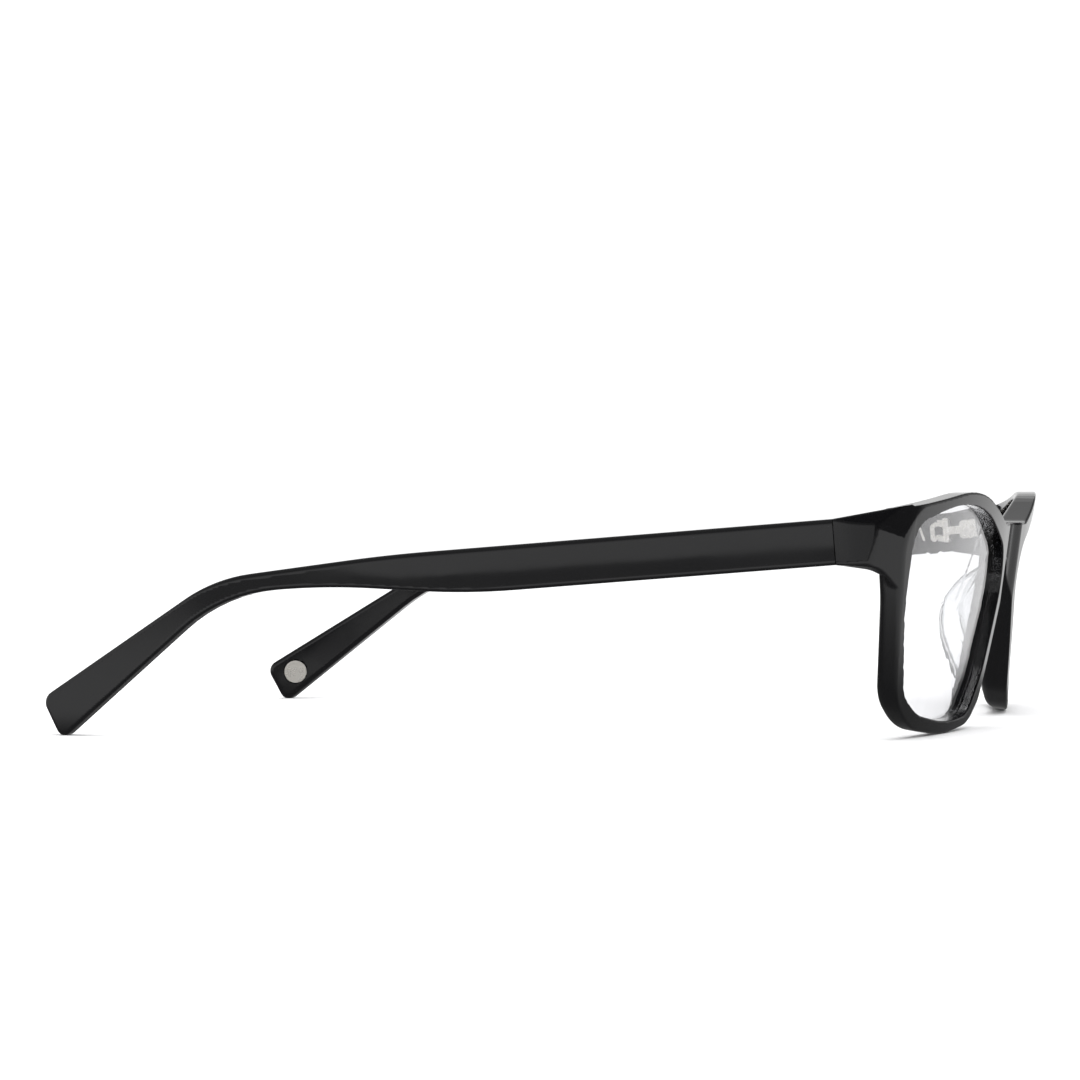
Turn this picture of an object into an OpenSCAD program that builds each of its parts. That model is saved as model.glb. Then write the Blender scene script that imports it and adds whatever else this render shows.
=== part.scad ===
// Full-rim rectangular eyeglasses frame: a black front with two clear lenses and clear nose pads,
// and two folding temples on three-barrel hinges. Millimetres. The wearer faces -Y, +Z is up and the
// left temple is on +X. The frame stands open on its rim bottoms and temple tips.

/* [Front] */
// Width over the open temples
overall_width = 136; // [132:1:140]
// How far the front leans forward at its top, in degrees
front_tilt = 8; // [6:0.5:9]
// Radius of the wrapped part of the front, seen from above
wrap_radius = 155; // [145:5:170]
// Half width of the flat stretch in the middle of the front
flat_half = 11; // [9:1:12]
// Thickness of the rims from front to back
rim_depth = 3.6; // [3.4:0.1:4]
// Thickness of the front beside the nose, where the pads sit
nasal_depth = 4.9; // [4.6:0.1:5.4]

/* [Lenses] */
// Thickness of a lens
lens_thickness = 1.3; // [1.1:0.1:1.4]
// Depth of a lens's front face behind the front of the rim
lens_inset = 1.5; // [1.3:0.1:1.7]
// How far the lens edge reaches into the rim's groove
groove_depth = 0.6; // [0.4:0.1:0.7]

/* [Temples] */
// Height of the straight part of a temple
temple_height = 7.2; // [6.8:0.1:7.4]
// Thickness of a temple at its hinge
butt_thickness = 4.4; // [4.2:0.1:4.8]
// Thickness of a temple behind the ear
tip_thickness = 3.4; // [3.2:0.1:3.8]
// How steeply an open temple runs down to the rear, in degrees
temple_drop = 4.3; // [3.5:0.1:5]
// How far the tips turn in towards the head, in degrees
tip_inset_angle = 10.4; // [8:0.2:11]
// Radius of the wire inside each temple
wire_radius = 0.62; // [0.5:0.02:0.62]

/* [Hinges] */
// Outside radius of the hinge barrels
barrel_radius = 0.8; // [0.75:0.05:0.85]
// Radius of the screw shank that is the hinge pin
screw_radius = 0.45; // [0.4:0.05:0.45]
// Height of the whole barrel, all three knuckles
barrel_height = 4; // [3.8:0.1:4.4]
// Height of the middle knuckle and its tongue
tongue_height = 1.5; // [1.3:0.1:1.7]

/* [Hidden] */

$fn = 48;
// Steps of a rounded corner in an outline
arc_steps = 6;
// Working clearance between the hinge parts, and the open joint between temple and front
hinge_gap = 0.12;
joint_gap = 0.14;
// Radial clearance of the screw in its knuckles
screw_clearance = 0.04;

// The joint face between front and temple, measured from the front's reference plane
joint_y = 13.5;
// The front's own zero plane, before the tilt
front_y = -1.25;
temple_x = overall_width / 2;

// Outlines. Each corner is [across, up, corner radius]; a radius of 0 keeps it sharp.
// Half of the front's outer edge, from the top of the bridge round to its underside
outer_corners = [[0, 33.9, 0], [12.2, 33.9, 12], [34, 39.8, 45], [64.5, 35.3, 1.6], [58.5, 4.7, 7],
                 [52.3, 0.5, 13], [39, -0.7, 60], [24, 0.7, 14], [17.4, 4.4, 6], [2.9, 27.6, 3.2],
                 [0, 27.6, 0]];
// The opening for a lens
opening_corners = [[6.8, 28, 7], [18.2, 8.4, 16], [25.1, 2.3, 8], [37.5, 1.3, 60], [50.5, 2.9, 14],
                   [56.1, 6, 4.5], [60.1, 22, 42], [59, 33.1, 5], [40, 38.1, 45], [26, 34.9, 30]];
// Side view of a temple: along the temple from the joint, and up from its middle line
temple_corners = [[0, temple_height / 2, 0], [72, temple_height / 2, 250], [101.3, 2, 28],
                  [134.6, -15.3, 2], [131.5, -22.4, 1.5], [100.1, -0.6, 29], [82.5, -0.6, 120],
                  [59.5, -temple_height / 2, 120], [0, -temple_height / 2, 0]];

// Where the temple starts to turn in, and how long the turn is
bend_start = 95;
bend_length = 12;
temple_end = 140;

// Hinge places in the temple's own frame: along it, up from its middle line, in from its inner face
pin_along = 1;
pin_up = 0.3;
pin_in = 0.3;
leaf_height = 3.4;
leaf_depth = 0.8;
temple_leaf_start = 1.95;
temple_leaf_end = 4.9;
front_leaf_end = -5.7;
front_leaf_start = -1.6;
tongue_width = 0.9;
screw_head_radius = 0.8;
screw_head_height = 0.35;

// Tip disc
disc_radius = 2.15;
disc_depth = 0.6;
disc_place = [129, -16.6];

// A fillet for corner b between a and c: points along the arc
function unit(v) = v / norm(v);
function fillet(a, b, c, r) =
    let (u = unit(a - b), w = unit(c - b), half = acos(u * w) / 2,
         centre = b + unit(u + w) * r / sin(half), start = b + u * r / tan(half) - centre,
         finish = b + w * r / tan(half) - centre, a0 = atan2(start.y, start.x),
         turn = atan2(start.x * finish.y - start.y * finish.x, start * finish))
    [for (i = [0:arc_steps]) let (t = a0 + turn * i / arc_steps) centre + r * [cos(t), sin(t)]];
// All the points of an outline given as corners
function flat(p) = [p.x, p.y];
function outline(corners) =
    let (n = len(corners))
    [for (i = [0:n - 1])
        each (corners[i][2] == 0
            ? [flat(corners[i])]
            : fillet(flat(corners[(i + n - 1) % n]), flat(corners[i]), flat(corners[(i + 1) % n]),
                     corners[i][2]))];
// The other half of a symmetric outline, in the order that closes it
function mirrored(points) =
    [for (i = [len(points) - 1:-1:0]) if (points[i].x > 0.001) [-points[i].x, points[i].y]];
function backwards(points) = [for (i = [len(points) - 1:-1:0]) points[i]];

// Depth of the front's curved face, d behind its front, at a distance x from the middle
function wrap(x, d) =
    let (out = max(abs(x) - flat_half, 0)) wrap_radius - sqrt(pow(wrap_radius - d, 2) - out * out);
wrap_steps = [0, each [for (i = [0:29]) flat_half + i * 2]];
function wrap_curve(d) = [for (x = wrap_steps) [x, wrap(x, d)]];

outer_half = outline(outer_corners);
opening = outline(opening_corners);
temple_side = outline(temple_corners);

// Heights that put the rims and the temple tips on the ground
rim_lift = -min([for (p = outer_half) p.y * cos(front_tilt) + wrap(p.x, 0) * sin(front_tilt)]);
hinge_z = -min([for (p = temple_side) p.y * cos(temple_drop) - p.x * sin(temple_drop)]);
// Ends of the frame from front to back, and the shift that centres it on the origin
front_end = min([for (p = outer_half) front_y + wrap(p.x, 0) * cos(front_tilt) - p.y * sin(front_tilt)]);
rear_end = joint_y + max([for (p = temple_side) p.x * cos(temple_drop) + p.y * sin(temple_drop)]);
centre_y = -(front_end + rear_end) / 2;

acetate = [0.03, 0.03, 0.035];
clear_plastic = [0.9, 0.93, 0.95, 0.4];
nickel = [0.75, 0.74, 0.7];

// Placing

// The front's own frame: x across, y depth behind the front, z up along the tilted front
module front_frame() {
    translate([0, centre_y + front_y, rim_lift]) rotate([front_tilt, 0, 0]) children();
}
// A left temple's own frame: x out from its outer face, y along it, z up from its middle line
module temple_frame() {
    translate([temple_x, centre_y + joint_y, hinge_z]) rotate([-temple_drop, 0, 0]) children();
}
module right_side() {
    mirror([1, 0, 0]) children();
}
module both_sides() {
    children();
    right_side() children();
}

// An outline drawn across and up, made into a bar that runs front to back
module front_bar(points) {
    translate([0, 30, 0]) rotate([90, 0, 0]) linear_extrude(height = 60) polygon(points);
}
// A sheet that follows the wrap, between two faces seen from above
module wrapped(front_face, rear_face) {
    translate([0, 0, -5])
        linear_extrude(height = 50)
            polygon(concat(mirrored(front_face), front_face, backwards(rear_face),
                           backwards(mirrored(rear_face))));
}
module curved_sheet(near, far) {
    wrapped(wrap_curve(near), wrap_curve(far));
}

// Front

// The rims' thickness at a distance x from the middle: full beside the nose, thinner further out
nasal_flat = 14;
nasal_end = 34;
function eased(t) = let (c = min(max(t, 0), 1)) c * c * (3 - 2 * c);
function rim_depth_at(x) =
    nasal_depth - (nasal_depth - rim_depth) * eased((x - nasal_flat) / (nasal_end - nasal_flat));
rim_rear = [for (x = wrap_steps) [x, wrap(x, rim_depth_at(x))]];
// The bridge is set back between the rims
bridge_recess = 1.2;
bridge_flat = 4.8;
bridge_blend = 3;
rim_face = [[0, bridge_recess],
            each [for (i = [0:5]) [bridge_flat + i * bridge_blend / 5, bridge_recess * (1 - eased(i / 5))]],
            each [for (x = wrap_steps) if (x >= flat_half) [x, wrap(x, 0)]]];

module rims() {
    intersection() {
        wrapped(rim_face, rim_rear);
        front_bar(concat(outer_half, mirrored(outer_half)));
    }
}

// The lens outline grown outwards by g, by moving every corner out along its bisector
function grown(corners, g) =
    let (n = len(corners))
    [for (i = [0:n - 1])
        let (b = flat(corners[i]), u = unit(flat(corners[(i + n - 1) % n]) - b),
             w = unit(flat(corners[(i + 1) % n]) - b), half = acos(u * w) / 2,
             moved = b - unit(u + w) * g / sin(half))
        [moved.x, moved.y, corners[i][2] + g]];

module lens_blank(grow, near, far) {
    intersection() {
        curved_sheet(near, far);
        front_bar(outline(grown(opening_corners, grow)));
    }
}

// Endpiece: from the rim's upper corner back to the joint face, in the part's own frame
endpiece_plan = outline([[0, -joint_gap / 2, 0], [-0.5, -3.5, 6], [-3.7, -12.5, 0], [-8.5, -12.5, 0],
                         [-8.5, -7.6, 0], [-butt_thickness, -6.9, 1], [-butt_thickness, -joint_gap / 2, 0]]);
endpiece_side = outline([[0, temple_height / 2, 0], [-13, temple_height / 2 + 1.5, 0], [-13, -9.2, 0],
                         [-6.3, -9.2, 0], [-5, -temple_height / 2 - 0.3, 3.5], [0, -temple_height / 2, 0]]);
// Its end view: across from the temple's outer face, and up, with a bevel along its top edge
endpiece_end = outline([[-4.4, 8, 0], [1, 2.6, 0], [1, -4.1, 0], [-2.4, -4.1, 5], [-7.4, -9.3, 0], [-12, -9.3, 0],
                        [-12, 8, 0]]);

module endpiece() {
    intersection() {
        temple_frame() translate([0, 0, -20]) linear_extrude(height = 40) polygon(endpiece_plan);
        temple_frame()
            translate([-20, 0, 0])
                rotate([90, 0, 90]) linear_extrude(height = 40) polygon(endpiece_side);
        temple_frame() front_bar(endpiece_end);
        front_frame() curved_sheet(0.02, 24);
    }
}

module frame_front() {
    color(acetate)
        difference() {
            union() {
                front_frame() rims();
                both_sides() endpiece();
            }
            front_frame() both_sides() front_bar(opening);
            front_frame()
                both_sides() lens_blank(groove_depth, lens_inset, lens_inset + lens_thickness);
            both_sides() front_leaf_pocket();
            both_sides() pad_seat();
        }
}

module left_lens() {
    front_frame() lens_blank(groove_depth - 0.05, lens_inset + 0.03, lens_inset + lens_thickness - 0.03);
}
module lens_left() {
    color(clear_plastic) left_lens();
}
module lens_right() {
    color(clear_plastic) right_side() left_lens();
}

// Nose pads: a side outline, [back from the rim, up along the nose, corner radius]
pad_root = -0.8;
pad_corners = [[pad_root, 10.4, 0], [0.3, 10.4, 0], [3.2, 6.6, 12], [5.1, 1.8, 9],
               [4.6, -3.2, 14], [2.8, -7, 14], [0.3, -11.4, 0], [pad_root, -11.4, 0]];
pad_thickness = 1.9;
pad_place = [11, nasal_depth, 17.2];
pad_lean = 32;
pad_splay = 16;
pad_fit = 0.03;

// The pad's own frame on the left rim: x across, y back from the rim, z along the nose
module pad_frame() {
    front_frame() translate(pad_place) rotate([0, -pad_lean, 0]) rotate([0, 0, -pad_splay]) children();
}
// The seat for it, cut into the thick nose side of the rim
module pad_seat() {
    pad_frame()
        translate([-pad_thickness / 2 - pad_fit, pad_root - pad_fit, -11.4 - pad_fit])
            cube([pad_thickness + 2 * pad_fit, 5, 21.8 + 2 * pad_fit]);
}
module left_pad() {
    pad_frame()
        translate([-pad_thickness / 2, 0, 0])
            rotate([90, 0, 90]) linear_extrude(height = pad_thickness) polygon(outline(pad_corners));
}
module nose_pad_left() {
    color(clear_plastic) left_pad();
}
module nose_pad_right() {
    color(clear_plastic) right_side() left_pad();
}

// Hinges, all in the temple's own frame
pin_x = -butt_thickness - pin_in;
tongue_low = pin_up - tongue_height / 2;
tongue_top = pin_up + tongue_height / 2;
barrel_low = pin_up - barrel_height / 2;
barrel_top = pin_up + barrel_height / 2;

module upright(r, low, top) {
    translate([pin_x, pin_along, low]) cylinder(r = r, h = top - low);
}
// A plate let into the inner face, with rounded corners, between two places along the temple:
// proud is how far it stands out of the face, fit how much larger it is all round
module leaf_plate(start, finish, deep, proud, fit) {
    low = pin_up - leaf_height / 2 - fit;
    high = pin_up + leaf_height / 2 + fit;
    plate = outline([[start - fit, low, 0.8], [finish + fit, low, 0.8], [finish + fit, high, 0.8],
                     [start - fit, high, 0.8]]);
    translate([-butt_thickness - proud, 0, 0])
        rotate([90, 0, 90]) linear_extrude(height = deep + proud) polygon(plate);
}
module front_leaf_pocket() {
    temple_frame() leaf_plate(front_leaf_end, front_leaf_start, leaf_depth, 1, 0.03);
}
module left_front_leaf() {
    temple_frame()
        difference() {
            union() {
                leaf_plate(front_leaf_end, front_leaf_start, leaf_depth - 0.1, 0.05, 0);
                translate([-butt_thickness - tongue_width, -4.05, tongue_low])
                    cube([tongue_width + 0.2, 2.4, tongue_height]);
                translate([-butt_thickness - tongue_width, -1.8, tongue_low])
                    cube([tongue_width - 0.04, pin_along + 1.8, tongue_height]);
                upright(barrel_radius, tongue_low, tongue_top);
            }
            upright(screw_radius + screw_clearance, tongue_low - 1, tongue_top + 1);
        }
}
module front_hinge_leaf_left() {
    color(nickel) left_front_leaf();
}
module front_hinge_leaf_right() {
    color(nickel) right_side() left_front_leaf();
}

module knuckle(low, top) {
    upright(barrel_radius, low, top);
    translate([pin_x - 0.5, pin_along, low]) cube([1.1, 1, top - low]);
}
module left_temple_leaf() {
    temple_frame()
        difference() {
            union() {
                leaf_plate(temple_leaf_start, temple_leaf_end, leaf_depth - 0.1, 0.05, 0);
                knuckle(barrel_low, tongue_low - hinge_gap / 2);
                knuckle(tongue_top + hinge_gap / 2, barrel_top);
            }
            upright(screw_radius + 0.01, barrel_low - 1, barrel_top + 1);
            translate([-butt_thickness - 1, pin_along + 0.8, tongue_low])
                cube([1.5, 1.9, tongue_height]);
        }
}
module temple_hinge_leaf_left() {
    color(nickel) left_temple_leaf();
}
module temple_hinge_leaf_right() {
    color(nickel) right_side() left_temple_leaf();
}

module left_screw() {
    temple_frame()
        difference() {
            union() {
                upright(screw_radius, barrel_low - 0.15, barrel_top + 0.01);
                upright(screw_head_radius, barrel_top + 0.01, barrel_top + 0.01 + screw_head_height);
            }
            translate([pin_x - 0.1, pin_along - 1, barrel_top + 0.16]) cube([0.2, 2, 1]);
        }
}
module hinge_screw_left() {
    color(nickel) left_screw();
}
module hinge_screw_right() {
    color(nickel) right_side() left_screw();
}

// Temples

// How far the outer face has turned in at a place along the temple, and the faces seen from above
bend_radius = bend_length * 180 / (PI * tip_inset_angle);
function turned_in(s) =
    s < bend_start ? 0 :
    s < bend_start + bend_length ? bend_radius - sqrt(pow(bend_radius, 2) - pow(s - bend_start, 2)) :
    bend_radius * (1 - cos(tip_inset_angle)) + (s - bend_start - bend_length) * tan(tip_inset_angle);
function thickness_at(s) = butt_thickness + (tip_thickness - butt_thickness) * max(s - 8, 0) / (temple_end - 8);
plan_places = [joint_gap / 2, 8, bend_start, each [for (i = [1:4]) bend_start + i * bend_length / 4],
               temple_end];
temple_outside = [for (s = plan_places) [-turned_in(s), s]];
temple_inside = [for (i = [len(plan_places) - 1:-1:0])
                    let (s = plan_places[i]) [-turned_in(s) - thickness_at(s), s]];

module temple_blank() {
    intersection() {
        translate([0, 0, -40]) linear_extrude(height = 60) polygon(concat(temple_outside, temple_inside));
        translate([-40, 0, 0]) rotate([90, 0, 90]) linear_extrude(height = 60) polygon(temple_side);
    }
}
// The wire's path: straight from the hinge leaf, then down and inwards behind the ear
wire_start = [-3, 3.5, 1];
wire_knee = [-2.3, 101, 0.3];
wire_finish = [-5.9, 124, -13.4];
module rod(from, to, r) {
    along = to - from;
    translate(from)
        rotate([0, acos(along.z / norm(along)), atan2(along.y, along.x)])
            cylinder(r = r, h = norm(along));
}
module wire(extra) {
    rod(wire_start, wire_knee, wire_radius + extra);
    translate(wire_knee) sphere(r = wire_radius + extra + 0.04);
    rod(wire_knee, wire_finish, wire_radius + extra);
}
// The inner face near the tip, as a frame for the disc: x out of the face, y along the temple
module disc_frame() {
    s = disc_place.x;
    translate([-turned_in(s) - thickness_at(s), s, disc_place.y])
        rotate([0, 0, tip_inset_angle]) children();
}
module left_temple() {
    temple_frame()
        difference() {
            temple_blank();
            leaf_plate(temple_leaf_start, temple_leaf_end, leaf_depth, 1, 0.03);
            upright(barrel_radius + hinge_gap, barrel_low - 0.1, barrel_top + 0.5);
            translate([pin_x - 0.5, pin_along, barrel_low - 0.05])
                cube([1.15, 1.05, barrel_height + 0.1]);
            wire(0.03);
            disc_frame() rotate([0, 90, 0]) translate([0, 0, -1]) cylinder(r = disc_radius, h = disc_depth + 1);
        }
}
module temple_left() {
    color(acetate) left_temple();
}
module temple_right() {
    color(acetate) right_side() left_temple();
}
module temple_core_wire_left() {
    color(nickel) temple_frame() wire(0);
}
module temple_core_wire_right() {
    color(nickel) right_side() temple_frame() wire(0);
}

// A plain disc with a raised ring round its edge
module left_disc() {
    temple_frame()
        disc_frame()
            rotate([0, 90, 0])
                difference() {
                    cylinder(r = disc_radius - 0.02, h = disc_depth - 0.02);
                    translate([0, 0, -1]) cylinder(r = disc_radius - 0.5, h = 1.15);
                }
}
module tip_disc_left() {
    color(nickel) left_disc();
}
module tip_disc_right() {
    color(nickel) right_side() left_disc();
}

frame_front();
lens_left();
lens_right();
nose_pad_left();
nose_pad_right();
front_hinge_leaf_left();
front_hinge_leaf_right();
hinge_screw_left();
hinge_screw_right();
temple_hinge_leaf_left();
temple_hinge_leaf_right();
temple_left();
temple_right();
temple_core_wire_left();
temple_core_wire_right();
tip_disc_left();
tip_disc_right();
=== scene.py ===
"""Eyeglasses frame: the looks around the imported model, in metres, in the model's own frame."""
import math

import bpy
import bmesh
import numpy as np
from mathutils import Matrix, Vector


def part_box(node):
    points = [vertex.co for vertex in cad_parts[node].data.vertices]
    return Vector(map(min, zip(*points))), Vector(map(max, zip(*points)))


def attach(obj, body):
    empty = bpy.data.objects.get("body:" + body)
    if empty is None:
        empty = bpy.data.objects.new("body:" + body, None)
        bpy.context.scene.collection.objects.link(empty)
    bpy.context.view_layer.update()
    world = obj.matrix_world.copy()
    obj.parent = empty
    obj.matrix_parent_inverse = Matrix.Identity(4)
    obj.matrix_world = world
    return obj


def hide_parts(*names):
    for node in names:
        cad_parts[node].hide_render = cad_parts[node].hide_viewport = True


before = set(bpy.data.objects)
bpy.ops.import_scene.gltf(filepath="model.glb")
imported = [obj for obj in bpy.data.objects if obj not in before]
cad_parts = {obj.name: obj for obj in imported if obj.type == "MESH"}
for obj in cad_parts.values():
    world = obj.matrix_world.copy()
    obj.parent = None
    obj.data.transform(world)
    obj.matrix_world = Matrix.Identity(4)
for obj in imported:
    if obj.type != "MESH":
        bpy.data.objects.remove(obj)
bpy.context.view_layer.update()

MM = 0.001
SIDES = ("left", "right")

# ---------------------------------------------------------------- dimensions, in millimetres
# The front and the temples each have a frame of their own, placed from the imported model's boxes.
TILT = math.radians(8)          # the front leans forward at its top
DROP = math.radians(4.3)        # an open temple runs down to the rear
WRAP_R = 155.0                  # radius of the wrapped part of the front, seen from above
FLAT = 11.0                     # half width of its flat middle
RIM_DEPTH = 3.6                 # front to back, at the outer side of a rim
NASAL_DEPTH = 4.9               # and at its nose side
DEEP_TO, SHALLOW_FROM = 14, 34  # how far from the middle the one turns into the other
BRIDGE_BACK = 1.2               # the bridge's front lies this far behind the rims' fronts
BRIDGE_HALF = 4.8               # half the bridge's width
BRIDGE_END = 7.8                # where it has run into the rims
BROW_SLOPE = 0.14               # the brow's top falls this much for each millimetre back
LENS_INSET = 1.5                # behind the rims' fronts
LENS_THICK = 1.3
LENS_OVERLAP = 0.35 / 22        # how far a lens reaches past the opening into the rim, as a share of its half size
LENS_RINGS = 14                 # rings of faces from a lens's middle to its edge
BUTT = 4.4                      # temple thickness at the hinge
TIP = 3.4                       # and at its tip
HALF_H = 3.6                    # half the height of the straight part of a temple
JOINT_GAP = 0.14                # between an endpiece and its temple
FRONT_Y = -1.25                 # the front's zero plane
JOINT_Y = 13.5                  # the middle of the gap between an endpiece and its temple
BEND_START = 95.0               # where along a temple its tip starts to turn in
BEND_LENGTH = 12.0
TURN = math.radians(10.4)       # how far it turns
BEND_R = BEND_LENGTH / TURN
PIN_X = -BUTT - 0.3             # the hinge pin's middle, in the temple's frame: across,
PIN_S, PIN_UP = 1.0, 0.3        # along and up
BARREL_R = 0.92                 # the room for the hinge barrel in the temple
BARREL_HALF = 2.3               # half its height
CROWN = 0.006                   # how fast a temple's outer side falls away from its middle line
CROWN_AT = -1.2                 # the height of that line

# Outlines, as (across or along, up, corner radius). First the left half of the front's outer edge, its
# left lens opening, and a temple from its side.
OUTER = [(0, 33.9, 0), (12.2, 33.9, 12), (34, 39.8, 45), (64.5, 35.3, 1.6), (58.5, 4.7, 7),
         (52.3, 0.5, 13), (39, -0.7, 60), (24, 0.7, 14), (17.4, 4.4, 6), (2.9, 27.6, 3.2), (0, 27.6, 0)]
OPENING = [(6.8, 28, 7), (18.2, 8.4, 16), (25.1, 2.3, 8), (37.5, 1.3, 60), (50.5, 2.9, 14),
           (56.1, 6, 4.5), (60.1, 22, 42), (59, 33.1, 5), (40, 38.1, 45), (26, 34.9, 30)]
TEMPLE = [(-4, HALF_H, 0), (72, HALF_H, 250), (101.3, 2, 28), (134.6, -15.3, 2), (131.5, -22.4, 1.5),
          (100.1, -0.6, 29), (82.5, -0.6, 120), (59.5, -HALF_H, 120), (-4, -HALF_H, 0)]
# The left endpiece from above, from its side and from the front, in the temple's frame
END_PLAN = [(0, 3, 0), (0, 0, 0), (-0.5, -3.5, 28), (-3.7, -12.5, 0), (-8.5, -12.5, 0), (-8.5, -7.6, 0),
            (-BUTT, -6.9, 1), (-BUTT, 3, 0)]
END_SIDE = [(3, HALF_H, 0), (0, HALF_H, 0), (-13, HALF_H + 1.5, 0), (-13, -12, 0), (-8.3, -12, 0),
            (-7.9, -8.6, 5), (-5.2, -4.9, 3.5), (0, -HALF_H - 0.1, 0), (3, -HALF_H - 0.1, 0)]
END_FACE = [(2, 8, 0), (2, -4.1, 0), (-2.4, -4.1, 5), (-9.6, -12, 0), (-12, -12, 0), (-12, 8, 0)]
UPPER_OUTER = 3                 # which of OUTER's corners is the upper outer one
FACE_CORNER = (63.2, 35.5, 8)   # what it is on the front face, inside the bevels
FACE_BEVEL = 1.9                # the bevel round that corner spreads this much for each millimetre back
SIDE_BEVEL = 0.43               # the one along the endpiece's top sinks this much going forward
PAD_SIDE = [(-0.8, 10.4, 0), (0.3, 10.4, 0), (3.2, 6.6, 12), (5.1, 1.8, 9), (4.6, -3.2, 14),
            (2.8, -7, 14), (0.3, -11.4, 0), (-0.8, -11.4, 0)]
PAD_HALF = 0.95                 # half a pad's thickness
PAD_ROUND = 0.6
PAD_PLACE = (11, NASAL_DEPTH, 17.2)
PAD_LEAN, PAD_SPLAY = math.radians(32), math.radians(16)
DISC_PLACE = (129, -16.6)       # along the temple, and up
DISC_R = 2.15
SEAT_GAP = 0.03                 # around the disc in its seat
SEAT_DEEP = 0.6

# The boxes that hold the smooth solids, each in its piece's own frame, and the grids inside them
FRONT_BOX = (-69.2, -1, -2), (69.2, 23, 41)
TEMPLE_BOX = (-12, -1.5, -24), (1, 137, 5)
PAD_BOX = (-1.7, -1.5, -13), (1.7, 6, 12)
STEP = 0.3
PAD_STEP = 0.2


# ---------------------------------------------------------------- outlines
def outline(corners, steps=8):
    """Points of an outline given by its corners, each rounded by an arc of some steps."""
    out, n = [], len(corners)
    for i, (x, y, r) in enumerate(corners):
        p = np.array([x, y], float)
        if r == 0:
            out.append(p)
            continue
        a = np.array(corners[i - 1][:2], float) - p
        b = np.array(corners[(i + 1) % n][:2], float) - p
        a /= np.linalg.norm(a)
        b /= np.linalg.norm(b)
        half = math.acos(max(-1, min(1, float(a @ b)))) / 2
        mid = a + b
        centre = p + mid / np.linalg.norm(mid) * r / math.sin(half)
        start = p + a * r / math.tan(half) - centre
        end = p + b * r / math.tan(half) - centre
        a0 = math.atan2(start[1], start[0])
        turn = (math.atan2(end[1], end[0]) - a0 + math.pi) % (2 * math.pi) - math.pi
        for k in range(steps + 1):
            t = a0 + turn * k / steps
            out.append(centre + r * np.array([math.cos(t), math.sin(t)]))
    return np.array(out)


def both_halves(points):
    """A half outline that starts and ends on the middle line, closed by its mirror image."""
    other = points[::-1].copy()
    other[:, 0] *= -1
    return np.vstack([points, other[other[:, 0] < -1e-6]])


def inside(points, x, y):
    """Signed distance from points (x, y) to a closed outline, negative inside."""
    x, y = np.broadcast_arrays(x, y)
    best = np.full(x.shape, 1e9)
    odd = np.zeros(x.shape, bool)
    for (ax, ay), (bx, by) in zip(points, np.roll(points, -1, axis=0)):
        dx, dy = bx - ax, by - ay
        length = dx * dx + dy * dy
        if length < 1e-12:
            continue
        t = np.clip(((x - ax) * dx + (y - ay) * dy) / length, 0, 1)
        best = np.minimum(best, (x - ax - t * dx) ** 2 + (y - ay - t * dy) ** 2)
        if dy != 0:
            crosses = (ay > y) != (by > y)
            odd ^= crosses & (x < ax + dx * (y - ay) / dy)
    return np.where(odd, -1, 1) * np.sqrt(best)


def round_and(a, b, r):
    """Where both a and b are inside, with the edge between them rounded to r."""
    p, q = a + r, b + r
    return np.minimum(np.maximum(p, q), 0) + np.hypot(np.maximum(p, 0), np.maximum(q, 0)) - r


def soft_or(a, b, k):
    """Where a or b is inside, with the hollow corner between them filled by about k / 4."""
    t = np.clip(0.5 + 0.5 * (b - a) / k, 0, 1)
    return b + (a - b) * t - k * t * (1 - t)


def ease(t, low, high):
    """0 below low, 1 above high, and a smooth curve between."""
    t = np.clip((t - low) / (high - low), 0, 1)
    return t * t * (3 - 2 * t)


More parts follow.
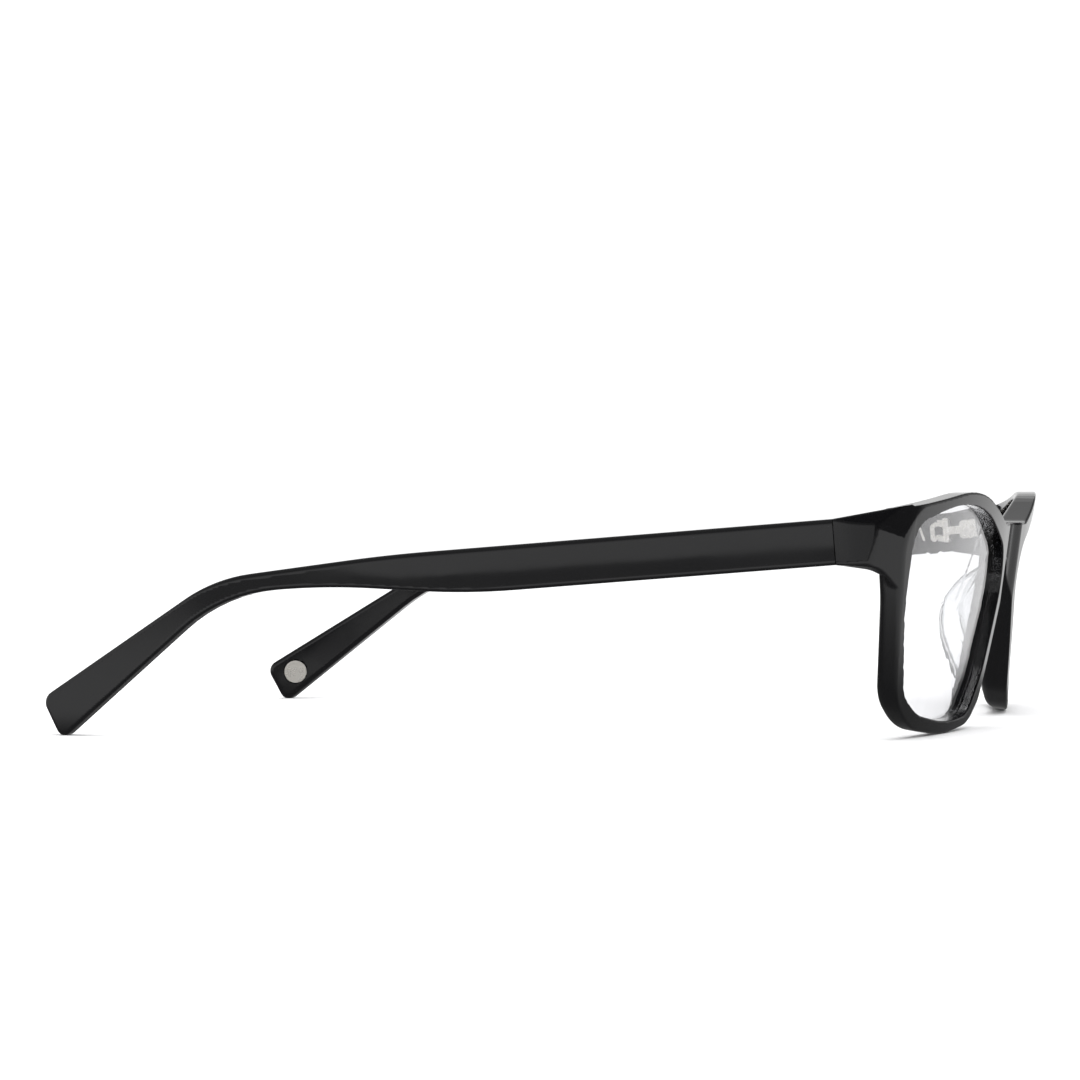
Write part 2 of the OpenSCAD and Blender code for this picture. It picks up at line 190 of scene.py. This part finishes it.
# ---------------------------------------------------------------- smooth solids from distances
def surface(distance, low, high, step, smooth=2):
    """A quad mesh on distance(p) = 0 in the box from low to high, with its vertex normals."""
    axes = [np.arange(lo, hi + step, step) for lo, hi in zip(low, high)]
    if hasattr(distance, "on_grid"):
        grid = distance.on_grid(*axes)
    else:
        places = np.stack(np.meshgrid(*axes, indexing="ij"), -1)
        grid = distance(places.reshape(-1, 3)).reshape([len(a) for a in axes])
    for axis in range(3):
        for end in (0, -1):
            wall = [slice(None)] * 3
            wall[axis] = end
            grid[tuple(wall)] = np.maximum(grid[tuple(wall)], step)
    solid = grid < 0
    corners = [(i, j, k) for i in (0, 1) for j in (0, 1) for k in (0, 1)]
    nx, ny, nz = (n - 1 for n in solid.shape)
    count = sum(solid[i:nx + i, j:ny + j, k:nz + k].astype(np.int8) for i, j, k in corners)
    cells = np.argwhere((count > 0) & (count < 8))
    number = np.full(count.shape, -1, np.int64)
    number[tuple(cells.T)] = np.arange(len(cells))
    value = np.stack([grid[tuple((cells + c).T)] for c in corners], 1)
    total = np.zeros((len(cells), 3))
    hits = np.zeros(len(cells))
    for i, a in enumerate(corners):
        for j, b in enumerate(corners):
            if j <= i or sum(u != v for u, v in zip(a, b)) != 1:
                continue
            va, vb = value[:, i], value[:, j]
            cut = (va < 0) != (vb < 0)
            t = np.where(cut, va / np.where(cut, va - vb, 1), 0)[:, None]
            total += np.where(cut[:, None], np.array(a) + t * (np.array(b) - np.array(a)), 0)
            hits += cut
    points = np.array([a[0] for a in axes]) + (cells + total / hits[:, None]) * step
    quads = []
    for axis in range(3):
        u, v = (axis + 1) % 3, (axis + 2) % 3
        first = [slice(None)] * 3
        second = [slice(None)] * 3
        first[axis], second[axis] = slice(0, -1), slice(1, None)
        near, far = solid[tuple(first)], solid[tuple(second)]
        for sign in (True, False):
            at = np.argwhere((near != far) & (near == sign))
            at = at[(at[:, u] > 0) & (at[:, v] > 0)]
            step_u, step_v = np.zeros(3, int), np.zeros(3, int)
            step_u[u], step_v[v] = 1, 1
            ring = [at - step_u - step_v, at - step_v, at, at - step_u]
            ring = [number[tuple(r.T)] for r in (ring if sign else ring[::-1])]
            quads.append(np.stack(ring, 1))
    quads = np.vstack(quads)
    quads = quads[(quads >= 0).all(1) & (quads < len(points)).all(1)]
    for turn in range(smooth + 1):
        points = project(distance, points, step)
        if turn < smooth:
            points = points + 0.5 * (neighbours(points, quads) - points)
    points = project(distance, points, step)
    return points, quads, gradient(distance, points)


def neighbours(points, quads):
    """The mean of each point's neighbours along the edges."""
    total = np.zeros_like(points)
    hits = np.zeros(len(points))
    for a, b in ((0, 1), (1, 2), (2, 3), (3, 0)):
        for m, n in ((a, b), (b, a)):
            np.add.at(total, quads[:, m], points[quads[:, n]])
            np.add.at(hits, quads[:, m], 1)
    return total / np.maximum(hits, 1)[:, None]


def gradient(distance, points, h=0.03):
    """How distance changes along each axis, from points h away on both sides."""
    out = np.zeros_like(points)
    for axis in range(3):
        e = np.zeros(3)
        e[axis] = h
        out[:, axis] = (distance(points + e) - distance(points - e)) / (2 * h)
    return out


def project(distance, points, step, rounds=2):
    """The points moved onto distance(p) = 0, by at most half a step each round."""
    for _ in range(rounds):
        g = gradient(distance, points)
        size = np.maximum((g * g).sum(1), 0.05)
        move = -(distance(points) / size)[:, None] * g
        length = np.linalg.norm(move, axis=1)[:, None]
        points = points + move * np.minimum(1, 0.5 * step / np.maximum(length, 1e-9))
    return points


def solid(name, place, distance, low, high, step, cut=None, mirror=False):
    """A smooth piece on distance(p) = 0, made in its own frame in millimetres and put in the model's.

    cut lists (point, direction): what lies beyond each plane, in the piece's own frame, goes,
    and the cut is closed by a flat face."""
    points, quads, normals = surface(distance, low, high, step)
    mesh = bpy.data.meshes.new(name)
    bm = bmesh.new()
    layer = bm.verts.layers.float_vector.new("shape_normal")
    verts = []
    for p, n in zip(points, normals):
        v = bm.verts.new(p)
        v[layer] = n
        verts.append(v)
    bm.verts.index_update()
    for q in quads:
        if len(set(q)) == 4:
            bm.faces.new([verts[i] for i in q])
    cap_layer = bm.faces.layers.int.new("cap")
    for at, direction in (cut or []):
        found = bmesh.ops.bisect_plane(bm, geom=bm.verts[:] + bm.edges[:] + bm.faces[:], plane_co=at,
                                       plane_no=direction, clear_outer=True)
        edges = [e for e in found["geom_cut"] if isinstance(e, bmesh.types.BMEdge)]
        for f in bmesh.ops.contextual_create(bm, geom=edges)["faces"]:
            f[cap_layer] = 1
    loose = [v for v in bm.verts if not v.link_faces]
    bmesh.ops.delete(bm, geom=loose, context="VERTS")
    if mirror:
        for v in bm.verts:
            v.co.x = -v.co.x
            v[layer] = Vector((-v[layer][0], v[layer][1], v[layer][2]))
        bmesh.ops.reverse_faces(bm, faces=bm.faces[:])
    bm.to_mesh(mesh)
    bm.free()
    matrix = Matrix(place)
    if mirror:
        matrix = Matrix.Diagonal((-1, 1, 1, 1)) @ matrix @ Matrix.Diagonal((-1, 1, 1, 1))
    turn = np.array(matrix.to_3x3())
    stored = np.zeros(len(mesh.vertices) * 3, np.float32)
    mesh.attributes["shape_normal"].data.foreach_get("vector", stored)
    vertex_normals = stored.reshape(-1, 3) @ turn.T
    vertex_normals /= np.maximum(np.linalg.norm(vertex_normals, axis=1), 1e-9)[:, None]
    caps = np.zeros(len(mesh.polygons), np.int32)
    mesh.attributes["cap"].data.foreach_get("value", caps)
    mesh.transform(Matrix.Scale(MM, 4) @ matrix)
    mesh.attributes.remove(mesh.attributes["shape_normal"])
    mesh.attributes.remove(mesh.attributes["cap"])
    mesh.update()
    mesh.polygons.foreach_set("use_smooth", [True] * len(mesh.polygons))
    loops = vertex_normals[[loop.vertex_index for loop in mesh.loops]]
    for i in np.nonzero(caps)[0]:
        face = mesh.polygons[i]
        loops[face.loop_start:face.loop_start + face.loop_total] = face.normal
    mesh.normals_split_custom_set(loops.tolist())
    piece = bpy.data.objects.new(name, mesh)
    bpy.context.scene.collection.objects.link(piece)
    return piece


# ---------------------------------------------------------------- the two working frames
half_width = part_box("temple_left")[1][0] / MM
tip_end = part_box("temple_left")[1][1] / MM
side_points = outline(TEMPLE)
hinge_z = -(side_points[:, 1] * math.cos(DROP) - side_points[:, 0] * math.sin(DROP)).min()
rear = JOINT_Y + (side_points[:, 0] * math.cos(DROP) + side_points[:, 1] * math.sin(DROP)).max()
centre_y = tip_end - rear

outer_points = both_halves(outline(OUTER))
opening_points = outline(OPENING)
face_corners = OUTER[:UPPER_OUTER] + [FACE_CORNER] + OUTER[UPPER_OUTER + 1:]
face_points = both_halves(outline(face_corners, 16))
plan_points = outline(END_PLAN)
end_side_points = outline(END_SIDE)
end_face_points = outline(END_FACE)


def wrap(x, depth=0.0):
    """How far back the front's curved face is at x, or the same face at a depth behind it."""
    out = np.maximum(np.abs(x) - FLAT, 0)
    return WRAP_R - np.sqrt((WRAP_R - depth) ** 2 - out * out)


rim_lift = -(outer_points[:, 1] * math.cos(TILT) + wrap(outer_points[:, 0]) * math.sin(TILT)).min()
FRONT_FRAME = Matrix.Translation((0, centre_y + FRONT_Y, rim_lift)) @ Matrix.Rotation(TILT, 4, "X")
TEMPLE_FRAME = (Matrix.Translation((half_width, centre_y + JOINT_Y, hinge_z))
                @ Matrix.Rotation(-DROP, 4, "X"))
TO_TEMPLE = np.array(TEMPLE_FRAME.inverted() @ FRONT_FRAME)


# ---------------------------------------------------------------- the front
def depth_behind(x, y):
    """How far a point is behind the front's curved face."""
    return WRAP_R - np.hypot(np.maximum(np.abs(x) - FLAT, 0), WRAP_R - y)


def rim_distance(x, y, h, outer, opening):
    """Both rims and the bridge, from the distances to the outer outline and to the opening."""
    depth = depth_behind(x, y)
    far = np.abs(x)
    rear = depth - NASAL_DEPTH + (NASAL_DEPTH - RIM_DEPTH) * ease(far, DEEP_TO, SHALLOW_FROM)
    face = BRIDGE_BACK * (1 - ease(far, BRIDGE_HALF, BRIDGE_END)) - depth
    sloped = outer + BROW_SLOPE * np.clip(depth, 0, 6) * ease(h, 30, 34)
    rear_round = 0.6 + 1.1 * (1 - ease(h, 20, 28))      # softer low down
    outside = np.maximum(round_and(sloped, face, 0.4), round_and(sloped, rear, rear_round))
    within = np.maximum(round_and(-opening, face, 0.2), round_and(-opening, rear, 0.3))
    return np.maximum(outside, within)


def endpiece_distance(p):
    """The left endpiece, from points in the front's frame, with their heights and the bevel's plane."""
    q = p @ TO_TEMPLE[:3, :3].T + TO_TEMPLE[:3, 3]
    x, s, h = q.T
    body = round_and(inside(plan_points, x, s), inside(end_side_points, s, h), 0.5)
    body = round_and(body, inside(end_face_points, x, h), 0.8)
    side_bevel = (x + h - SIDE_BEVEL * s - HALF_H + 0.1) / math.sqrt(2 + SIDE_BEVEL ** 2)
    return round_and(body, 0.02 - depth_behind(p[:, 0], p[:, 1]), 0.4), h, side_bevel


class FrontShape:
    """The front's distance, at any points or, faster, on a whole grid."""

    def __call__(self, p):
        x, y, h = np.abs(p[:, 0]), p[:, 1], p[:, 2]
        rim = rim_distance(x, y, h, inside(outer_points, x, h), inside(opening_points, x, h))
        return self.join(np.stack([x, y, h], 1), rim)

    def join(self, p, rim):
        """The rims with the endpieces, the hollow corner between them filled, and the bevels cut."""
        out = rim.copy()
        near = (p[:, 0] > 50) & (p[:, 2] > 12)
        end, up, side_bevel = endpiece_distance(p[near])
        depth = depth_behind(p[near, 0], p[near, 1])
        fill = 0.1 + 1.2 * ease(-up, 1.0, 4.0) * ease(depth, 0.6, 3.0)
        body = soft_or(rim[near], end, fill)
        face_bevel = inside(face_points, p[near, 0], p[near, 2]) - FACE_BEVEL * depth - 0.1
        face_bevel /= math.sqrt(1 + FACE_BEVEL ** 2)
        body = round_and(body, round_and(side_bevel, face_bevel, 0.3), 0.25)
        out[near] = round_and(body, -inside(opening_points, p[near, 0], p[near, 2]), 0.2)
        return out

    def on_grid(self, xs, ys, hs):
        x, h = np.meshgrid(np.abs(xs), hs, indexing="ij")
        flat = [inside(points, x, h)[:, None, :] for points in (outer_points, opening_points)]
        p = np.stack(np.meshgrid(np.abs(xs), ys, hs, indexing="ij"), -1)
        rim = rim_distance(p[..., 0], p[..., 1], p[..., 2], *flat)
        return self.join(p.reshape(-1, 3), rim.reshape(-1)).reshape(rim.shape)


def joint_cut():
    """The one plane that ends both endpieces at their joints, in the front's frame."""
    to_front = FRONT_FRAME.inverted() @ TEMPLE_FRAME
    at = to_front @ Vector((0, -JOINT_GAP / 2, 0))
    direction = to_front.to_3x3() @ Vector((0, 1, 0))
    return at, direction


front = solid("front", FRONT_FRAME, FrontShape(), *FRONT_BOX, STEP, cut=[joint_cut()])


# ---------------------------------------------------------------- the temples
def turned_in(s):
    """How far the outer face has turned in at a place along the temple, and its slope there."""
    t = np.clip(s - BEND_START, 0, BEND_LENGTH)
    arc = BEND_R - np.sqrt(BEND_R ** 2 - t * t)
    beyond = np.maximum(s - BEND_START - BEND_LENGTH, 0) * math.tan(TURN)
    return arc + beyond, np.cos(t / BEND_R)


def thickness(s):
    """The temple's thickness at a place along it."""
    return BUTT + (TIP - BUTT) * np.clip((s - 8) / 132, 0, 1)


def temple_distance(p):
    """The left temple, with the pocket for its hinge barrel and the seat for its disc."""
    x, s, h = p.T
    side = inside(side_points, s, h)
    turned, cosine = turned_in(s)
    crown = CROWN * np.clip(h - CROWN_AT, -HALF_H - CROWN_AT, HALF_H - CROWN_AT) ** 2 * (1 - ease(s, 60, 90))
    out = (x + turned + crown) * cosine
    back = -(x + turned + thickness(s)) * cosine
    out_round = 0.55 + 0.35 * ease(h, -1, 2)        # softer at the top
    body = np.maximum(round_and(side, out, out_round), round_and(side, back, 0.8))
    barrel = np.hypot(x - PIN_X, s - PIN_S) - BARREL_R
    web = np.maximum(np.abs(x - PIN_X - 0.075) - 0.575, np.abs(s - PIN_S - 0.5) - 0.55)
    pocket = np.maximum(np.minimum(barrel, web), np.abs(h - PIN_UP - 0.2) - BARREL_HALF)
    deep = (x - DISC_AT[0]) * math.cos(TURN) + (s - DISC_AT[1]) * math.sin(TURN)
    along = (s - DISC_AT[1]) * math.cos(TURN) - (x - DISC_AT[0]) * math.sin(TURN)
    seat = np.maximum(np.hypot(along, h - DISC_AT[2]) - DISC_R - SEAT_GAP, deep - SEAT_DEEP)
    return np.maximum(body, -np.minimum(pocket, seat))


DISC_AT = (-turned_in(DISC_PLACE[0])[0] - thickness(DISC_PLACE[0]), DISC_PLACE[0], DISC_PLACE[1])
temple_cut = [(Vector((0, JOINT_GAP / 2, 0)), Vector((0, -1, 0)))]
temples = [solid("temple_%s_side" % side, TEMPLE_FRAME, temple_distance, *TEMPLE_BOX, STEP,
                 cut=temple_cut, mirror=side == "right")
           for side in SIDES]


# ---------------------------------------------------------------- nose pads
pad_points = outline(PAD_SIDE, 20)
PAD_FRAME = (FRONT_FRAME @ Matrix.Translation(PAD_PLACE) @ Matrix.Rotation(-PAD_LEAN, 4, "Y")
             @ Matrix.Rotation(-PAD_SPLAY, 4, "Z"))


def pad_distance(p):
    """The left nose pad, in its own frame."""
    x, y, z = p.T
    side = inside(pad_points, y, z)
    return round_and(side, np.abs(x) - PAD_HALF, PAD_ROUND)


pads = [solid("pad_%s_side" % side, PAD_FRAME, pad_distance, *PAD_BOX, PAD_STEP, mirror=side == "right")
        for side in SIDES]


# ---------------------------------------------------------------- lenses
def make_lens(name, mirrored):
    """A curved clear sheet in rings from its middle out, with its edge reaching into the rim."""
    edge = outline(OPENING, 10)
    middle = edge.mean(0)
    edge = middle + (edge - middle) * (1 + LENS_OVERLAP)
    mesh = bpy.data.meshes.new(name)
    bm = bmesh.new()
    sheets = []
    for depth in (LENS_INSET, LENS_INSET + LENS_THICK):
        rows = []
        for k in range(1, LENS_RINGS + 1):
            pts = middle + (edge - middle) * k / LENS_RINGS
            rows.append([bm.verts.new((x, float(wrap(np.array(x), depth)), y)) for x, y in pts])
        centre = bm.verts.new((middle[0], float(wrap(np.array(middle[0]), depth)), middle[1]))
        sheets.append((rows, centre))
    for (rows, centre), flip in zip(sheets, (False, True)):
        n = len(rows[0])
        for i in range(n):
            j = (i + 1) % n
            face = [centre, rows[0][i], rows[0][j]]
            bm.faces.new(face[::-1] if flip else face)
            for a, b in zip(rows, rows[1:]):
                face = [a[i], b[i], b[j], a[j]]
                bm.faces.new(face[::-1] if flip else face)
    outer_front, outer_back = sheets[0][0][-1], sheets[1][0][-1]
    for i in range(len(outer_front)):
        j = (i + 1) % len(outer_front)
        bm.faces.new([outer_front[i], outer_back[i], outer_back[j], outer_front[j]]).smooth = False
    if mirrored:
        for v in bm.verts:
            v.co.x = -v.co.x
    bmesh.ops.recalc_face_normals(bm, faces=bm.faces[:])
    bm.to_mesh(mesh)
    bm.free()
    mesh.transform(Matrix.Scale(MM, 4) @ FRONT_FRAME)
    for face in mesh.polygons:
        face.use_smooth = len(face.vertices) != 4 or abs(face.normal.y) > 0.5
    mesh.set_sharp_from_angle(angle=math.radians(40))
    piece = bpy.data.objects.new(name, mesh)
    bpy.context.scene.collection.objects.link(piece)
    return piece


lenses = [make_lens("lens_sheet_" + side, side == "right") for side in SIDES]


# ---------------------------------------------------------------- materials
def material(name):
    """A new node material, with its tree and its shader."""
    m = bpy.data.materials.new(name)
    m.use_nodes = True
    return m, m.node_tree, m.node_tree.nodes["Principled BSDF"]


def bump_from(nt, shader, scale, strength, distance, detail=2.0):
    """A faint unevenness from noise in the piece's own coordinates, which it returns for more noise."""
    coords = nt.nodes.new("ShaderNodeTexCoord")
    noise = nt.nodes.new("ShaderNodeTexNoise")
    noise.inputs["Scale"].default_value = scale
    noise.inputs["Detail"].default_value = detail
    bump = nt.nodes.new("ShaderNodeBump")
    bump.inputs["Strength"].default_value = strength
    bump.inputs["Distance"].default_value = distance
    nt.links.new(coords.outputs["Object"], noise.inputs["Vector"])
    nt.links.new(noise.outputs["Fac"], bump.inputs["Height"])
    nt.links.new(bump.outputs["Normal"], shader.inputs["Normal"])
    return coords


def roughness_from(nt, shader, coords, scale, low, high):
    """Roughness that wanders between low and high, like a handled polish."""
    noise = nt.nodes.new("ShaderNodeTexNoise")
    noise.inputs["Scale"].default_value = scale
    noise.inputs["Detail"].default_value = 3
    spread = nt.nodes.new("ShaderNodeMapRange")
    spread.inputs["From Min"].default_value = 0.35
    spread.inputs["From Max"].default_value = 0.65
    spread.inputs["To Min"].default_value = low
    spread.inputs["To Max"].default_value = high
    nt.links.new(coords.outputs["Object"], noise.inputs["Vector"])
    nt.links.new(noise.outputs["Fac"], spread.inputs["Value"])
    nt.links.new(spread.outputs["Result"], shader.inputs["Roughness"])


def make_acetate():
    """Polished black plastic, with the slight waviness of hand polishing."""
    m, nt, shader = material("black_acetate")
    shader.inputs["Base Color"].default_value = (0.0035, 0.0035, 0.004, 1)
    shader.inputs["IOR"].default_value = 1.5
    coords = bump_from(nt, shader, 90, 0.05, 0.0004)
    roughness_from(nt, shader, coords, 60, 0.05, 0.11)
    return m


def make_lens_material():
    """Clear glass-like lens, with a trace of grey."""
    m, nt, shader = material("lens_clear")
    shader.inputs["Base Color"].default_value = (0.87, 0.87, 0.885, 1)
    shader.inputs["Transmission Weight"].default_value = 1.0
    shader.inputs["Roughness"].default_value = 0.0
    shader.inputs["IOR"].default_value = 1.6
    return m


def make_pad_material():
    """Clear moulded plastic."""
    m, nt, shader = material("pad_clear")
    shader.inputs["Base Color"].default_value = (0.93, 0.94, 0.95, 1)
    shader.inputs["Transmission Weight"].default_value = 0.9
    shader.inputs["Roughness"].default_value = 0.04
    shader.inputs["IOR"].default_value = 1.49
    return m


def make_nickel():
    """Satin nickel silver with a fine grain."""
    m, nt, shader = material("nickel_silver")
    shader.inputs["Base Color"].default_value = (0.95, 0.92, 0.86, 1)
    shader.inputs["Metallic"].default_value = 1.0
    coords = bump_from(nt, shader, 900, 0.1, 0.00005, 4)
    roughness_from(nt, shader, coords, 500, 0.2, 0.35)
    return m


acetate = make_acetate()
lens_material = make_lens_material()
pad_material = make_pad_material()
nickel = make_nickel()


def dress(piece, mat):
    """Gives a piece one material in place of what it has."""
    piece.data.materials.clear()
    piece.data.materials.append(mat)


dress(front, acetate)
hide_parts("frame_front")
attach(front, "front")
for piece, side in zip(temples, SIDES):
    dress(piece, acetate)
    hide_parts("temple_" + side)
    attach(piece, "temple_%s_body" % side)
for piece, side in zip(pads, SIDES):
    dress(piece, pad_material)
    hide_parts("nose_pad_" + side)
    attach(piece, "front")
for piece, side in zip(lenses, SIDES):
    dress(piece, lens_material)
    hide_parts("lens_" + side)
    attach(piece, "front")
for name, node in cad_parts.items():
    if name.startswith(("front_hinge", "temple_hinge", "hinge_screw", "tip_disc", "temple_core")):
        dress(node, nickel)


# ---------------------------------------------------------------- floor, light and camera
def link(nt, pairs):
    """Links each (source, target) pair of sockets."""
    for source, target in pairs:
        nt.links.new(source, target)


def ranged(nt, value, low, high, out_low, out_high):
    """A value mapped smoothly from one range to another, held at both ends."""
    node = nt.nodes.new("ShaderNodeMapRange")
    node.interpolation_type = "SMOOTHSTEP"
    ends = {"From Min": low, "From Max": high, "To Min": out_low, "To Max": out_high}
    for name, number in ends.items():
        node.inputs[name].default_value = number
    nt.links.new(value, node.inputs["Value"])
    return node.outputs["Result"]


def times(nt, a, b):
    """The product of two values."""
    node = nt.nodes.new("ShaderNodeMath")
    node.operation = "MULTIPLY"
    nt.links.new(a, node.inputs[0])
    nt.links.new(b, node.inputs[1])
    return node.outputs[0]


def mirrored_only(nt):
    """1 for a reflected ray, 0 for one that's seen directly, lights something or passed a lens."""
    path = nt.nodes.new("ShaderNodeLightPath")
    node = nt.nodes.new("ShaderNodeMath")
    node.operation = "SUBTRACT"
    node.use_clamp = True
    nt.links.new(path.outputs["Is Glossy Ray"], node.inputs[0])
    nt.links.new(path.outputs["Is Transmission Ray"], node.inputs[1])
    return node.outputs[0]


FLOOR_HALF = 6.0                # half the floor's width, in metres


def make_floor():
    """Plain white to look at; reflections see it as a glow, with painted shade under the object and far out
    on its right side.
    """
    mesh = bpy.data.meshes.new("floor")
    bm = bmesh.new()
    bmesh.ops.create_grid(bm, x_segments=1, y_segments=1, size=FLOOR_HALF)
    bm.to_mesh(mesh)
    bm.free()
    floor = bpy.data.objects.new("floor", mesh)
    bpy.context.scene.collection.objects.link(floor)
    m, nt, shader = material("floor_white")
    shader.inputs["Base Color"].default_value = (0.95, 0.95, 0.955, 1)
    shader.inputs["Roughness"].default_value = 0.9
    shader.inputs["Specular IOR Level"].default_value = 0.0
    place = nt.nodes.new("ShaderNodeNewGeometry")
    split = nt.nodes.new("ShaderNodeSeparateXYZ")
    reach = nt.nodes.new("ShaderNodeVectorMath")
    reach.operation = "LENGTH"
    glow = nt.nodes.new("ShaderNodeEmission")
    mix = nt.nodes.new("ShaderNodeMixShader")
    # Painted shade in reflections: the glow is 0.15 under the object and 0.33 far out on the right side,
    # against 0.9 elsewhere
    under = ranged(nt, reach.outputs["Value"], 0.09, 0.15, 0.15, 0.9)
    aside = ranged(nt, split.outputs["X"], -0.5, -0.2, 0.33, 1.0)
    link(nt, [(place.outputs["Position"], split.inputs[0]),
              (place.outputs["Position"], reach.inputs[0]),
              (times(nt, under, aside), glow.inputs["Strength"]),
              (mirrored_only(nt), mix.inputs[0]),
              (shader.outputs[0], mix.inputs[1]),
              (glow.outputs[0], mix.inputs[2]),
              (mix.outputs[0], nt.nodes["Material Output"].inputs["Surface"])])
    dress(floor, m)
    return floor


# What reflections see all round: (heading in degrees from +X towards +Y, brightness)
ROUND = [(-180, 0.9), (-160, 0.6), (-143, 0.5), (-134, 0.06), (-127, 0.04), (-105, 0.05),
         (-85, 0.08), (-66, 0.1), (-44, 0.55), (-28, 0.45), (-15, 0.25), (-8, 0.13),
         (-5, 0.5), (-1, 1.0), (90, 1.0), (140, 0.9), (180, 0.9)]
SEEN = 1.1                      # the world's brightness where it is seen directly, and as light


def make_world():
    """White to look at and to be lit by; reflections see a studio with dark and bright sides."""
    world = bpy.data.worlds.new("studio")
    world.use_nodes = True
    nt = world.node_tree
    coords = nt.nodes.new("ShaderNodeTexCoord")
    split = nt.nodes.new("ShaderNodeSeparateXYZ")
    heading = nt.nodes.new("ShaderNodeMath")
    heading.operation = "ARCTAN2"
    share = nt.nodes.new("ShaderNodeMapRange")
    share.inputs["From Min"].default_value = -math.pi
    share.inputs["From Max"].default_value = math.pi
    ramp = nt.nodes.new("ShaderNodeValToRGB")
    ramp.color_ramp.interpolation = "EASE"
    stops = ramp.color_ramp.elements
    for k, (angle, value) in enumerate(ROUND):
        stop = stops[k] if k < 2 else stops.new(1.0)
        stop.position = (angle + 180) / 360
        stop.color = (value, value, value, 1)
    mix = nt.nodes.new("ShaderNodeMix")
    mix.data_type = "FLOAT"
    mix.inputs["A"].default_value = SEEN
    back = nt.nodes["Background"]
    link(nt, [(coords.outputs["Generated"], split.inputs[0]),
              (split.outputs["Y"], heading.inputs[0]),
              (split.outputs["X"], heading.inputs[1]),
              (heading.outputs[0], share.inputs["Value"]),
              (share.outputs["Result"], ramp.inputs["Fac"])])
    up = split.outputs["Z"]
    below = ranged(nt, up, -0.02, 0.01, 0.33, 1.0)
    overhead = ranged(nt, up, 0.15, 0.7, 1.0, 0.25)
    reflected = times(nt, times(nt, ramp.outputs["Color"], below), overhead)
    link(nt, [(reflected, mix.inputs["B"]), (mirrored_only(nt), mix.inputs["Factor"]),
              (mix.outputs["Result"], back.inputs["Strength"])])
    back.inputs["Color"].default_value = (1, 1, 1, 1)
    return world


make_floor()
scene = bpy.context.scene
scene.world = make_world()
scene.view_settings.view_transform = "Standard"


def area_light(name, at, target, size, power):
    """A square soft light that reflections don't see."""
    data = bpy.data.lights.new(name, "AREA")
    data.shape = "SQUARE"
    data.size = size
    data.energy = power
    light = bpy.data.objects.new(name, data)
    light.location = at
    light.rotation_euler = (Vector(target) - Vector(at)).to_track_quat("-Z", "Y").to_euler()
    light.visible_glossy = False
    scene.collection.objects.link(light)
    return light


area_light("overhead", at=(0, 0, 1.2), target=(0, 0, 0), size=1.2, power=10)


def make_camera(eye, heading, pitch, roll, focal):
    """A camera at eye that looks along heading, down by pitch, with the angles in radians."""
    flat = Vector((math.cos(heading), math.sin(heading), 0)) * math.cos(pitch)
    ahead = flat - Vector((0, 0, math.sin(pitch)))
    level = Vector((math.sin(heading), -math.cos(heading), 0))
    above = level.cross(ahead)
    right = level * math.cos(roll) + above * math.sin(roll)
    up = -level * math.sin(roll) + above * math.cos(roll)
    data = bpy.data.cameras.new("camera")
    data.sensor_width = 36
    data.lens = focal
    camera = bpy.data.objects.new("camera", data)
    camera.matrix_world = Matrix((
        (right.x, up.x, -ahead.x, eye.x),
        (right.y, up.y, -ahead.y, eye.y),
        (right.z, up.z, -ahead.z, eye.z),
        (0, 0, 0, 1)))
    scene.collection.objects.link(camera)
    return camera


EYE = Vector((-703.417, -98.454 + centre_y, 39.498)) * MM
HEADING, PITCH, ROLL = math.radians(14.039), math.radians(0.67), math.radians(-0.35)
FOCAL = 138.485
scene.camera = make_camera(EYE, HEADING, PITCH, ROLL, FOCAL)
